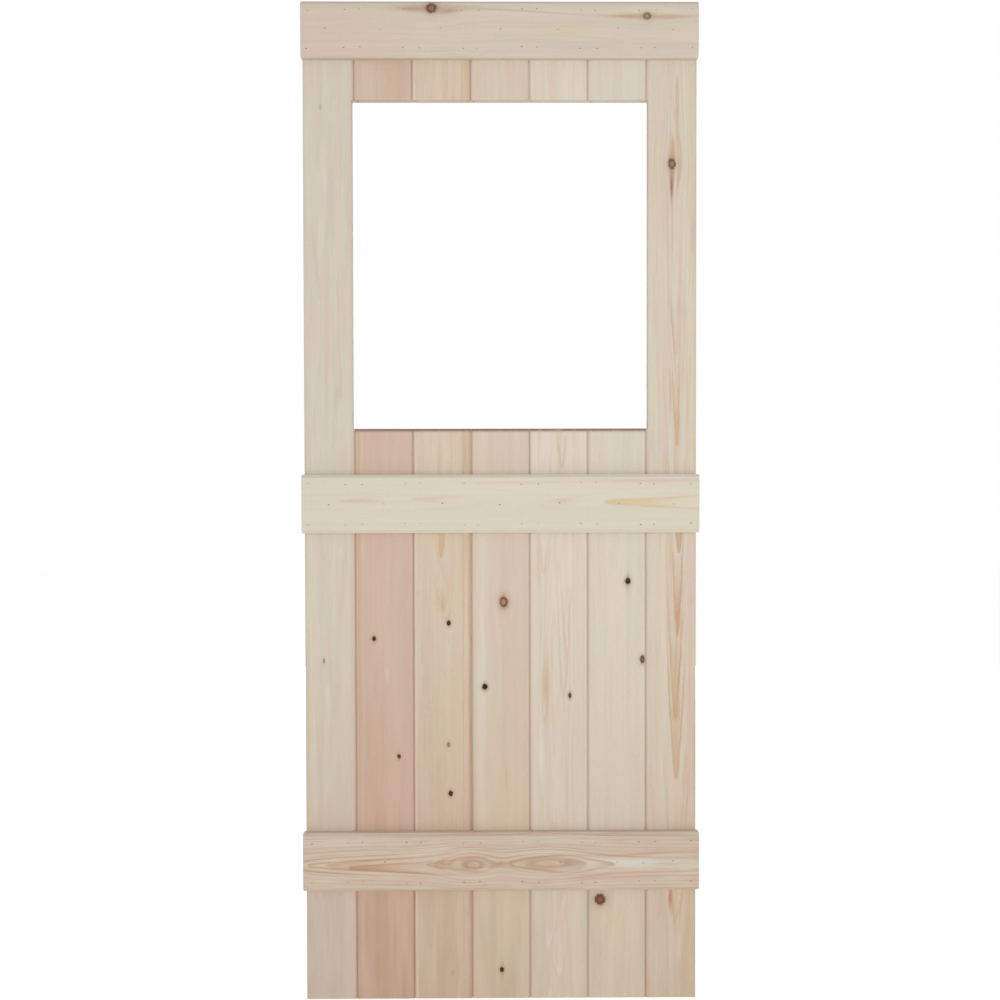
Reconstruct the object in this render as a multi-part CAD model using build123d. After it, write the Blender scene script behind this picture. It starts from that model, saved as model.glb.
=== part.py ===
from build123d import *

import math
import os

# A ledged door leaf: seven matched boards held by three ledges, with a window opening cut through the boards.
# Millimetres. X runs across the leaf, Y from the ledge side to the plain side, Z up from the foot.

# Leaf
LEAF_W = 780.0
LEAF_H = 1981.0
BOARD_COUNT = 7
COVER_W = 116.0
BOARD_T = 20.0
EDGE_ROUND = 1.5
END_EASE = 0.8

# Tongue, groove and V between neighbouring boards
TONGUE_T = 6.5
TONGUE_L = 7.0
TONGUE_EASE = 1.0
GROOVE_SIDE_CLEAR = 0.15
GROOVE_TIP_CLEAR = 1.0
SHOULDER_GAP = 0.3
V_SIZE = 3.0

# Window opening, cut square through the boards just past the V of the outermost joints
HEAD_RAIL_H = 187.5
WINDOW_H = 650.0
JAMB_PAST_V = 0.5

# Ledges
LEDGE_T = 20.0
LEDGE_W = 116.0
TOP_LEDGE_W = 110.0
LEDGE_CHAMFER = 6.0
LEDGE_END_ROUND = 1.5
TOP_LEDGE_PROUD = 1.0
MIDDLE_LEDGE_PROUD = 3.5
BOTTOM_LEDGE_PROUD = 4.0
SILL_TO_LEDGE = 91.0
FOOT_TO_LEDGE = 223.5

# Nails: flat wire with a T head, punched below the ledge's face and stopping short of the plain side
NAIL_STOP_SHORT = 4.0
NAIL_WIRE_W = 1.6
NAIL_WIRE_T = 1.4
NAIL_HEAD_W = 2.9
NAIL_HEAD_T = 1.0
NAIL_POINT_L = 2.4
NAIL_POINT_W = 0.5
NAIL_PUNCH = 1.0
NAIL_HOLE_CLEAR = 0.05
NAIL_TIP_CLEAR = 0.4
NAIL_FROM_EDGE = 12.0
NAIL_FROM_JOINT = 15.0
NAIL_FROM_LEDGE_EDGE = 18.0
NAIL_WANDER = 1.8
WANDER_STEP = 2.4

# How far a cutting block runs past the face that it opens
CUT_PAST = 1.0

# Places that follow from the sizes above
DEPTH = BOARD_T + LEDGE_T
LEDGE_FACE_Y = -DEPTH / 2
BOARD_FACE_Y = LEDGE_FACE_Y + LEDGE_T
PLAIN_FACE_Y = BOARD_FACE_Y + BOARD_T
BOARD_MID_Y = (BOARD_FACE_Y + PLAIN_FACE_Y) / 2
INNER_W = (BOARD_COUNT - 2) * COVER_W
HEAD_Z = LEAF_H - HEAD_RAIL_H
SILL_Z = HEAD_Z - WINDOW_H
WINDOW_W = INNER_W + 2 * (V_SIZE + JAMB_PAST_V)
NAIL_HEAD_Y = LEDGE_FACE_Y + NAIL_PUNCH
NAIL_TIP_Y = PLAIN_FACE_Y - NAIL_STOP_SHORT

# Each ledge by name: its lower edge, its width and how far its ends stand past the leaf
LEDGES = {
    "top": (LEAF_H - TOP_LEDGE_W, TOP_LEDGE_W, TOP_LEDGE_PROUD),
    "middle": (SILL_Z - SILL_TO_LEDGE - LEDGE_W, LEDGE_W, MIDDLE_LEDGE_PROUD),
    "bottom": (FOOT_TO_LEDGE, LEDGE_W, BOTTOM_LEDGE_PROUD),
}


def board_span(number):
    """Left and right joint line, or leaf edge, of a board counted from the left."""
    first_joint = -INNER_W / 2
    left = -LEAF_W / 2 if number == 1 else first_joint + (number - 2) * COVER_W
    right = LEAF_W / 2 if number == BOARD_COUNT else first_joint + (number - 1) * COVER_W
    return left, right


def board_section(number):
    """Cross-section of a board: grooved on its left edge and tongued on its right, with a V at each joint."""
    left, right = board_span(number)
    grooved = number > 1
    tongued = number < BOARD_COUNT
    if grooved:
        left += SHOULDER_GAP / 2
    if tongued:
        right -= SHOULDER_GAP / 2
    section = Pos((left + right) / 2, BOARD_MID_Y) * Rectangle(right - left, BOARD_T)
    left_corners = section.vertices().group_by(Axis.X)[0]
    section = chamfer(left_corners, V_SIZE) if grooved else fillet(left_corners, EDGE_ROUND)
    right_corners = section.vertices().group_by(Axis.X)[-1]
    section = chamfer(right_corners, V_SIZE) if tongued else fillet(right_corners, EDGE_ROUND)
    if grooved:
        section -= groove_section(left)
    if tongued:
        section += tongue_section(right)
    return section


def groove_section(shoulder_x):
    """Slot that a neighbour's tongue slides into, open to the left."""
    depth = TONGUE_L + GROOVE_TIP_CLEAR
    return Pos(shoulder_x + depth / 2, BOARD_MID_Y) * Rectangle(depth, TONGUE_T + 2 * GROOVE_SIDE_CLEAR)


def tongue_section(shoulder_x):
    """Tongue that stands out to the right, with its tip eased."""
    tongue = Pos(shoulder_x + TONGUE_L / 2, BOARD_MID_Y) * Rectangle(TONGUE_L, TONGUE_T)
    return chamfer(tongue.vertices().group_by(Axis.X)[-1], TONGUE_EASE)


def same(one, other):
    """True for two places that agree to a hundredth of a millimetre."""
    return math.isclose(one, other, abs_tol=0.01)


def on_a_face(edge):
    """True for an edge that lies on the ledge side or the plain side of the boards."""
    return same(edge.center().Y, BOARD_FACE_Y) or same(edge.center().Y, PLAIN_FACE_Y)


def eased_ends(plank):
    """Board with the saw-sharp arrises of its two ends taken off on both faces."""
    by_height = plank.faces().group_by(Axis.Z)
    ends = by_height[0] + by_height[-1]
    across = [edge for face in ends for edge in face.edges().filter_by(Axis.X)]
    return chamfer([edge for edge in across if on_a_face(edge)], END_EASE)


def board(number, low_z, high_z):
    """Matched board between two heights."""
    length = high_z - low_z
    return eased_ends(Pos(0, 0, low_z) * extrude(board_section(number), amount=length))


def outer_board(number):
    """Full-height board with the side of the window cut into its inner edge and the cut's arrises eased."""
    cutter = Pos(0, BOARD_MID_Y, (SILL_Z + HEAD_Z) / 2) * Box(WINDOW_W, BOARD_T + 2 * CUT_PAST, WINDOW_H)
    cut = board(number, 0, LEAF_H) - cutter
    jamb_x = -WINDOW_W / 2 if number == 1 else WINDOW_W / 2
    upright = [edge for edge in cut.edges().filter_by(Axis.Z) if on_a_face(edge)]
    return chamfer([edge for edge in upright if same(edge.center().X, jamb_x)], END_EASE)


def ledge(name):
    """Ledge with its long front arrises chamfered and the edges of its ends rounded."""
    low_z, width, proud = LEDGES[name]
    length = LEAF_W + 2 * proud
    plank = Pos(0, LEDGE_FACE_Y + LEDGE_T / 2, low_z + width / 2) * Box(length, LEDGE_T, width)
    long_front = plank.edges().filter_by(Axis.X).group_by(Axis.Y)[0]
    plank = chamfer(long_front, LEDGE_CHAMFER)
    around_ends = [edge for face in plank.faces().filter_by(Axis.X) for edge in face.edges()]
    return fillet([edge for edge in around_ends if not same(edge.center().Y, BOARD_FACE_Y)], LEDGE_END_ROUND)


def nail_places(name, number):
    """Where five nails hold one board to a ledge: near its four corners and in the middle."""
    low_z, width, _ = LEDGES[name]
    left, right = board_span(number)
    left_x = left + (NAIL_FROM_EDGE if number == 1 else NAIL_FROM_JOINT)
    right_x = right - (NAIL_FROM_EDGE if number == BOARD_COUNT else NAIL_FROM_JOINT)
    lower_z = low_z + NAIL_FROM_LEDGE_EDGE
    upper_z = low_z + width - NAIL_FROM_LEDGE_EDGE
    middle = ((left_x + right_x) / 2, (lower_z + upper_z) / 2)
    corners = [(x, z) for x in (left_x, right_x) for z in (lower_z, upper_z)]
    return [wandered(x, z) for x, z in corners + [middle]]


def wandered(x, z):
    """Place of a hand-driven nail, a little off its mark."""
    turn = WANDER_STEP * (x + 2 * z)
    return x + NAIL_WANDER * math.sin(turn), z + NAIL_WANDER * math.cos(2 * turn)


def nail(x, z):
    """Flat wire nail driven along Y, with a T head and a chisel point."""
    wire_l = NAIL_TIP_Y - NAIL_POINT_L - NAIL_HEAD_Y
    head = Pos(x, NAIL_HEAD_Y + NAIL_HEAD_T / 2) * Rectangle(NAIL_HEAD_W, NAIL_HEAD_T)
    wire = Pos(x, NAIL_HEAD_Y + wire_l / 2) * Rectangle(NAIL_WIRE_W, wire_l)
    corners = [
        (-NAIL_WIRE_W / 2, 0),
        (NAIL_WIRE_W / 2, 0),
        (NAIL_POINT_W / 2, NAIL_POINT_L),
        (-NAIL_POINT_W / 2, NAIL_POINT_L),
    ]
    point = Pos(x, NAIL_HEAD_Y + wire_l) * Polygon(*corners, align=None)
    return Pos(0, 0, z - NAIL_WIRE_T / 2) * extrude(head + wire + point, amount=NAIL_WIRE_T)


def slot(x, z, width, near_y, far_y):
    """Nail hole of the wire's thickness between two depths."""
    size = Box(width + 2 * NAIL_HOLE_CLEAR, far_y - near_y, NAIL_WIRE_T + 2 * NAIL_HOLE_CLEAR)
    return Pos(x, (near_y + far_y) / 2, z) * size


def ledge_holes(x, z):
    """Punched pocket over a nail's head, and the hole of its wire through the ledge."""
    head_back_y = NAIL_HEAD_Y + NAIL_HEAD_T + NAIL_HOLE_CLEAR
    pocket = slot(x, z, NAIL_HEAD_W, LEDGE_FACE_Y - CUT_PAST, head_back_y)
    wire = slot(x, z, NAIL_WIRE_W, NAIL_HEAD_Y, BOARD_FACE_Y + CUT_PAST)
    return [pocket, wire]


def board_hole(x, z):
    """Blind hole of a nail's wire in a board."""
    return slot(x, z, NAIL_WIRE_W, BOARD_FACE_Y - CUT_PAST, NAIL_TIP_Y + NAIL_TIP_CLEAR)


def nailed(piece, number, ledge_names):
    """Board with the holes of the nails that come through the named ledges."""
    places = [place for name in ledge_names for place in nail_places(name, number)]
    return piece - [board_hole(x, z) for x, z in places]


def all_places(name):
    """Every nail of a ledge, from the left."""
    return [place for number in range(1, BOARD_COUNT + 1) for place in nail_places(name, number)]


def boards():
    """Outer boards at full height, and the inner ones above and below the window."""
    pieces = {}
    for number in range(1, BOARD_COUNT + 1):
        if number in (1, BOARD_COUNT):
            side = "left" if number == 1 else "right"
            pieces[f"board_{number}_{side}"] = nailed(outer_board(number), number, LEDGES)
        else:
            upper = board(number, HEAD_Z, LEAF_H)
            lower = board(number, 0, SILL_Z)
            pieces[f"board_{number}_upper"] = nailed(upper, number, ["top"])
            pieces[f"board_{number}_lower"] = nailed(lower, number, ["middle", "bottom"])
    return pieces


def ledges_and_nails():
    """Three ledges with their nail holes, and the nails of each as one group."""
    pieces = {}
    for name in LEDGES:
        places = all_places(name)
        holes = [hole for x, z in places for hole in ledge_holes(x, z)]
        pieces[f"ledge_{name}"] = ledge(name) - holes
        pieces[f"nails_ledge_{name}"] = Compound(children=[nail(x, z) for x, z in places])
    return pieces


def main():
    os.makedirs("parts", exist_ok=True)
    pieces = boards() | ledges_and_nails()
    for name, shape in pieces.items():
        export_step(shape, f"parts/{name}.step")
        print(f"{name}: {len(shape.solids())} solids, {shape.volume:.0f} mm3")


main()
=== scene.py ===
import math
from functools import partial
from types import SimpleNamespace
from typing import NamedTuple

import bmesh
import bpy
from bpy.props import CollectionProperty, FloatProperty, FloatVectorProperty, PointerProperty
from bpy.types import Operator, Panel, PropertyGroup
from mathutils import Color, Matrix, Vector


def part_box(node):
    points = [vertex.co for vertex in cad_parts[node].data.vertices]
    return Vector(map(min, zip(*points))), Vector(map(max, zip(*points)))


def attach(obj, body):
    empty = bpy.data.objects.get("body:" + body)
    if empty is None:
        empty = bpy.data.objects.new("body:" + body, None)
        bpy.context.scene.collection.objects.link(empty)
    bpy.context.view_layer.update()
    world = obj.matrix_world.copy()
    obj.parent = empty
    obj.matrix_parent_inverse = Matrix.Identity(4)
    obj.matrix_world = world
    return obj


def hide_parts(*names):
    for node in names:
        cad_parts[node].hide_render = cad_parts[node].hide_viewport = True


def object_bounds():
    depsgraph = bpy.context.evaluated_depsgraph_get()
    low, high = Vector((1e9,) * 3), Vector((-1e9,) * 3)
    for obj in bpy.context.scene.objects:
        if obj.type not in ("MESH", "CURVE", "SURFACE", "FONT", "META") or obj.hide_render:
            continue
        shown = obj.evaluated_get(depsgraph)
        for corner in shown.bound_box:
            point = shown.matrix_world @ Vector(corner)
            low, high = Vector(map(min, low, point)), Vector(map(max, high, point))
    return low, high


bl_info = {
    "name": "Ledged door leaf finish",
    "version": (1, 0, 0),
    "blender": (4, 5, 0),
    "location": "3D View > Sidebar > Ledged leaf",
    "description": "Gives a ledged door leaf its planed softwood, knots and nails, on a plain lit stage",
    "category": "Object",
}

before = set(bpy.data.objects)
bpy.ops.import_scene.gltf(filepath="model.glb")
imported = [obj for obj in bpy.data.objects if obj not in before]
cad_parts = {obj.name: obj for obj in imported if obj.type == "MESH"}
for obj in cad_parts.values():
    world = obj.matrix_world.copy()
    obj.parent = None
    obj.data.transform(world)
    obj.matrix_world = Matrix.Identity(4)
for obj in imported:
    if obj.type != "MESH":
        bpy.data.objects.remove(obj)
CAD_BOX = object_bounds()

# Metres to the millimetres that the wood's figure is written in
MM = 1000.0

# Pieces by their names in the frame
CUT_BOARDS = ["board_2", "board_3", "board_4", "board_5", "board_6"]
BOARDS = {
    "board_1": ["board_1_left"],
    **{board: [f"{board}_upper", f"{board}_lower"] for board in CUT_BOARDS},
    "board_7": ["board_7_right"],
}
LEDGES = ["ledge_top", "ledge_middle", "ledge_bottom"]
NAIL_GROUPS = [f"nails_{ledge}" for ledge in LEDGES]

# Even steps along a plank, from its foot or left end, at which its pith's depth is given
PITH_STEPS = 13

# Usual depth of a pith and the range that its curve can hold, in millimetres
PITH_DEPTH = 30.0
PITH_RANGE = 200.0


def rgb(red, green, blue):
    """Colour written in the 0 to 255 steps of a screen."""
    return red / 255, green / 255, blue / 255


def linear(colour):
    """Screen colour as the renderer's light values, with full opacity."""
    return (*Color(colour).from_srgb_to_scene_linear(), 1.0)


def amount(name, description, default, **limits):
    """Setting with one number, and its limits or unit."""
    return FloatProperty(name=name, description=description, default=default, **limits)


def shade(name, description, default):
    """Setting with a colour, picked as the screen shows it."""
    return FloatVectorProperty(
        name=name, description=description, subtype="COLOR_GAMMA", default=default, min=0, max=1,
    )


class KnotLook(PropertyGroup):
    """One branch cut across by the face of a plank."""

    across: amount("Across", "Place across the grain, mm", 0.0)
    along: amount("Along", "Place along the grain, mm", 0.0)
    radius: amount("Radius", "Half of the knot's width, mm", 4.0, min=0.5)
    stretch: amount("Stretch", "Length over width", 1.15, min=0.5)
    lean: amount("Lean", "Slope along the grain through the plank", 0.3)
    dead: amount("Dead", "0 for a sound red knot, 1 for a black one", 1.0)
    heart: shade("Heart", "Colour of the sound wood in the knot", rgb(150, 98, 72))
    depth: amount("Depth of colour", "How dark the knot is", 1.0, min=0, max=1)
    trail: amount("Trail", "Length of the stain along the grain, mm", 9.0)


class StainLook(PropertyGroup):
    """One long soft patch of another colour, such as a resin streak or a strip of pale sapwood."""

    across: amount("Across", "Place across the grain, mm", 0.0)
    along: amount("Along", "Place along the grain, mm", 0.0)
    half_width: amount("Half width", "Reach across the grain, mm", 8.0, min=0.5)
    half_length: amount("Half length", "Reach along the grain, mm", 80.0, min=1)
    slope: amount("Slope", "Drift across for each mm along the grain", 0.0)
    tint: shade("Tint", "Colour of the patch", rgb(198, 164, 128))
    strength: amount("Strength", "Share of the tint at its middle", 0.5)
    reach: amount("Reach", "How far it goes in behind the face, mm", 400.0, min=0.1)


class FlameLook(PropertyGroup):
    """One pointed figure where the face cuts a growth ring at a shallow angle, filled with late wood."""

    across: amount("Across", "Place of the tip across the grain, mm", 0.0)
    tip: amount("Tip", "Place of the tip along the grain, mm", 0.0)
    length: amount("Length", "Reach from the tip, below 0 for downwards, mm", 120.0)
    half_width: amount("Half width", "Half of the width at the open end, mm", 14.0)
    slope: amount("Slope", "Drift across for each mm along the grain", 0.0)
    tint: shade("Tint", "Colour of the fill", rgb(198, 164, 128))
    fill: amount("Fill", "Strength of the colour inside", 0.5)
    outline: amount("Outline", "Strength of the two lines that meet at the tip", 0.5)


class PlankLook(PropertyGroup):
    """Colour and figure of one plank, seen on its face."""

    # On a board the tone is darker than the far tone partly by the wood's own colour and partly by painted
    # shade at the foot
    tone: shade("Tone", "Plain wood at the foot or left end", rgb(211, 196, 178))
    far_tone: shade("Far tone", "Plain wood at the top or right end", rgb(211, 196, 178))
    line: shade("Line", "Dark late wood of each ring", rgb(186, 152, 118))
    blush: shade("Blush", "Broad patches of another tint", rgb(212, 186, 164))
    blush_amount: amount("Blush amount", "Strength of the patches", 0.6)
    sap: shade("Sap", "Pale greenish sapwood in smaller patches", rgb(208, 206, 186))
    sap_amount: amount("Sap amount", "Strength of the sapwood", 0.4)
    line_strength: amount("Line strength", "Strength of the rings", 0.5)
    late_share: amount("Late share", "Share of a ring that is dark", 0.4)
    streaks: amount("Streaks", "Strength of thin streaks along the grain", 0.3)
    ring_width: amount("Ring width", "Mean width of a ring, mm", 4.0)
    waver: amount("Waver", "How far the rings wander, mm", 5.0)
    reach: amount("Reach", "Distance from the pith at which the rings fade, mm", 60.0)
    pith_across: amount("Pith across", "Place of the pith, mm", 0.0)
    pith_depths: FloatVectorProperty(
        name="Pith depths", description="Depth of the pith behind the face at even steps, mm",
        default=[PITH_DEPTH] * PITH_STEPS, size=PITH_STEPS,
    )
    knots: CollectionProperty(name="Knots", description="Branches that the face cuts", type=KnotLook)
    stains: CollectionProperty(name="Stains", description="Soft patches of colour", type=StainLook)
    flames: CollectionProperty(name="Flames", description="Pointed figures of rings", type=FlameLook)


class LeafSettings(PropertyGroup):
    """What a user would change about the leaf's finish and its stage."""

    planks: CollectionProperty(name="Planks", description="Look of each plank", type=PlankLook)
    steel: shade("Steel", "Colour of the nails", rgb(186, 178, 168))
    tarnish: shade("Tarnish", "Colour of the duller nails", rgb(96, 84, 74))
    fresh_bruise: shade("Fresh bruise", "Wood crushed round the fainter nails", rgb(204, 192, 174))
    old_bruise: shade("Old bruise", "Wood crushed round the plainer nails", rgb(150, 132, 116))
    crush: amount("Crush", "Crushed wood round a nail", 0.0009, min=0.0001, max=0.0012, unit="LENGTH")
    arris: amount("Arris", "Rounding of a ledge's arrises", 0.0005, min=0.0001, max=0.002, unit="LENGTH")
    lamp_power: amount("Lamp power", "Power of each lamp", 61.0, unit="POWER")
    sky: amount("Sky", "Light from all around", 0.6, min=0, max=1)
    bounce: amount("Bounce", "Light from the white floor", 0.28, min=0, max=1)


def steady(depth):
    """Pith that stays at one depth."""
    return [depth] * PITH_STEPS


def sloping(first, last):
    """Pith that runs evenly from one depth at the foot or left end to another."""
    return [first + (last - first) * step / (PITH_STEPS - 1) for step in range(PITH_STEPS)]


def mark(labels, *values, **others):
    """Settings of one mark on a plank: those labelled, in their order, and others by name."""
    return dict(zip(labels.split(), values), **others)


knot = partial(mark, "across along radius depth")
stain = partial(mark, "across along half_width half_length tint strength")
flame = partial(mark, "across tip length half_width tint fill outline")

# Colour and figure of each plank. Places across a board are X and along it Z; on a ledge they are Z and X.
# The boards' tones are darker than their far tones partly as painted shade, where light falls off towards
# the foot
PLANKS = {
    "board_1": dict(
        tone=rgb(195, 178, 162), far_tone=rgb(208, 200, 183), line=rgb(190, 168, 146),
        blush=rgb(208, 188, 172), blush_amount=0.45, line_strength=0.3, ring_width=7, waver=9, reach=70,
        pith_across=-345, pith_depths=sloping(70, 45), sap_amount=0.5,
    ),
    "board_2": dict(
        tone=rgb(186, 154, 131), far_tone=rgb(204, 180, 161), line=rgb(196, 156, 128),
        blush=rgb(204, 174, 158), blush_amount=0.6, line_strength=0.3, ring_width=9, waver=5, reach=55,
        pith_across=-300, pith_depths=sloping(8, 30), sap_amount=0.12,
    ),
    "board_3": dict(
        tone=rgb(193, 169, 147), far_tone=rgb(210, 192, 170), line=rgb(192, 158, 116),
        blush=rgb(209, 188, 168), blush_amount=0.5, line_strength=0.5, ring_width=6.5, waver=6, reach=24,
        pith_across=-113, pith_depths=[60, 56, 52, 50, 47, 42, 34, 30, 28, 27, 26, 25, 24],
        sap_amount=0.3,
    ),
    "board_4": dict(
        tone=rgb(194, 175, 150), far_tone=rgb(211, 196, 179), line=rgb(198, 170, 146),
        blush=rgb(212, 191, 174), blush_amount=0.6, line_strength=0.14, ring_width=9, waver=8, reach=80,
        pith_across=40, pith_depths=steady(60), sap_amount=0.35,
    ),
    "board_5": dict(
        tone=rgb(202, 187, 169), far_tone=rgb(216, 206, 191), line=rgb(202, 174, 148),
        blush=rgb(216, 198, 180), blush_amount=0.5, line_strength=0.6, ring_width=7, waver=12, reach=40,
        pith_across=112, pith_depths=[30, 36, 38, 34, 30, 33, 37, 36, 32, 34, 34, 33, 32],
        sap_amount=0.35,
    ),
    "board_6": dict(
        tone=rgb(203, 186, 168), far_tone=rgb(214, 205, 189), line=rgb(202, 180, 152),
        blush=rgb(213, 198, 182), blush_amount=0.45, line_strength=0.16, ring_width=8, waver=6, reach=70,
        pith_across=215, pith_depths=steady(70), sap_amount=0.5,
    ),
    "board_7": dict(
        tone=rgb(199, 181, 159), far_tone=rgb(214, 202, 185), line=rgb(188, 152, 114),
        blush=rgb(213, 192, 177), blush_amount=0.6, line_strength=0.58, late_share=0.5, ring_width=6.5,
        waver=7, reach=22, pith_across=351,
        pith_depths=[46, 43, 39, 33, 27.5, 24.5, 21.5, 18, 13, 8, 6, 7, 9], sap_amount=0.8, streaks=0.4,
    ),
    "ledge_top": dict(
        tone=rgb(206, 187, 172), far_tone=rgb(209, 196, 180), line=rgb(192, 164, 142),
        blush=rgb(204, 192, 174), blush_amount=0.5, line_strength=0.3, ring_width=8, waver=9, reach=70,
        pith_across=1960, pith_depths=steady(36), sap_amount=0.35,
    ),
    "ledge_middle": dict(
        tone=rgb(211, 205, 187), far_tone=rgb(214, 206, 188), line=rgb(206, 180, 148),
        blush=rgb(215, 202, 187), blush_amount=0.4, line_strength=0.4, ring_width=9, waver=5, reach=26,
        pith_across=997, pith_depths=[34, 33, 32, 32, 33, 35, 37, 37, 34, 28, 22, 17, 14], sap_amount=0.3,
    ),
    "ledge_bottom": dict(
        tone=rgb(204, 188, 169), far_tone=rgb(204, 186, 169), line=rgb(178, 142, 110),
        blush=rgb(203, 181, 164), blush_amount=0.5, line_strength=0.95, late_share=0.62, ring_width=5.2,
        waver=2.6, reach=60, pith_across=276,
        pith_depths=[32, 28.5, 26, 24, 20.5, 10.5, 16, 10, 12.5, 19, 22, 23, 24], sap_amount=0.45,
        streaks=0.9,
    ),
}

# Heart of a knot that is only pale wood with the grain turned round it
BUFF = rgb(214, 190, 150)

# Knots of each plank
KNOTS = {
    "board_1": [
        knot(-355, 1779, 2.2, 0.12, stretch=2.6, trail=24),
        knot(-353, 681, 2.2, 0.34, stretch=2.2),
    ],
    "board_2": [
        knot(-253, 725, 4, 0.92),
        knot(-204, 489, 3.5, 0.85, dead=0.85),
    ],
    "board_3": [
        knot(-104, 756, 4.2, 0.94),
        knot(-105, 512, 3, 0.5, stretch=1.4, dead=0.5),
        knot(-101, 414, 4.4, 0.94),
        knot(-98, 52, 5, 0.07, dead=0.2),
    ],
    "board_4": [
        knot(6, 798, 8, 0.92, stretch=1.3, dead=0, heart=rgb(184, 142, 116), trail=16),
        knot(-32, 628, 5.4, 1, stretch=1.05),
        knot(1, 58, 4.1, 0.92, stretch=1.2, trail=16),
    ],
    "board_5": [
        knot(138, 610, 3.2, 0.82, stretch=1.6, dead=0.85),
    ],
    "board_6": [
        knot(254, 839, 5.4, 0.95, stretch=1.1, trail=20),
        knot(283, 682, 4.9, 0.78, stretch=1.6, dead=0.6, lean=0.6),
        knot(198, 199, 10.4, 0.96, stretch=1.02, dead=0.2, heart=rgb(160, 92, 70)),
    ],
    "board_7": [
        knot(341, 1668, 7.3, 0.85, stretch=1.4, dead=0.12, heart=rgb(160, 124, 104), trail=40),
    ],
    "ledge_top": [
        knot(1966, -134, 9.8, 0.84, stretch=1.05, dead=0.2, heart=rgb(156, 110, 92), trail=70),
        knot(1951, 289, 6.9, 0.7, stretch=1.1, dead=0.1, heart=rgb(170, 134, 114), trail=80),
    ],
    "ledge_bottom": [
        knot(277, -55, 10, 0.3, stretch=2.3, lean=0, dead=0, heart=BUFF, trail=18),
        knot(279, 96, 10, 0.26, stretch=5, lean=0, dead=0, heart=BUFF, trail=18),
        knot(278, 283, 1.8, 0.15),
    ],
}

# Tints of the stains and flames
TAN = rgb(196, 160, 118)
RUST = rgb(186, 134, 102)
PALE = rgb(222, 212, 196)
ASH = rgb(212, 208, 200)
MILK = rgb(216, 212, 197)
STRAW = rgb(212, 190, 144)
PINK = rgb(210, 176, 164)
BARK = rgb(186, 154, 124)

# Dark line along the sill's sawn front arris, and how far below the sill its middle lies
SILL_MARK = dict(half_width=4000.0, half_length=3.4, tint=rgb(140, 117, 106), strength=1.3, reach=3.0)
SILL_MARK_BELOW = 2.0

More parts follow.
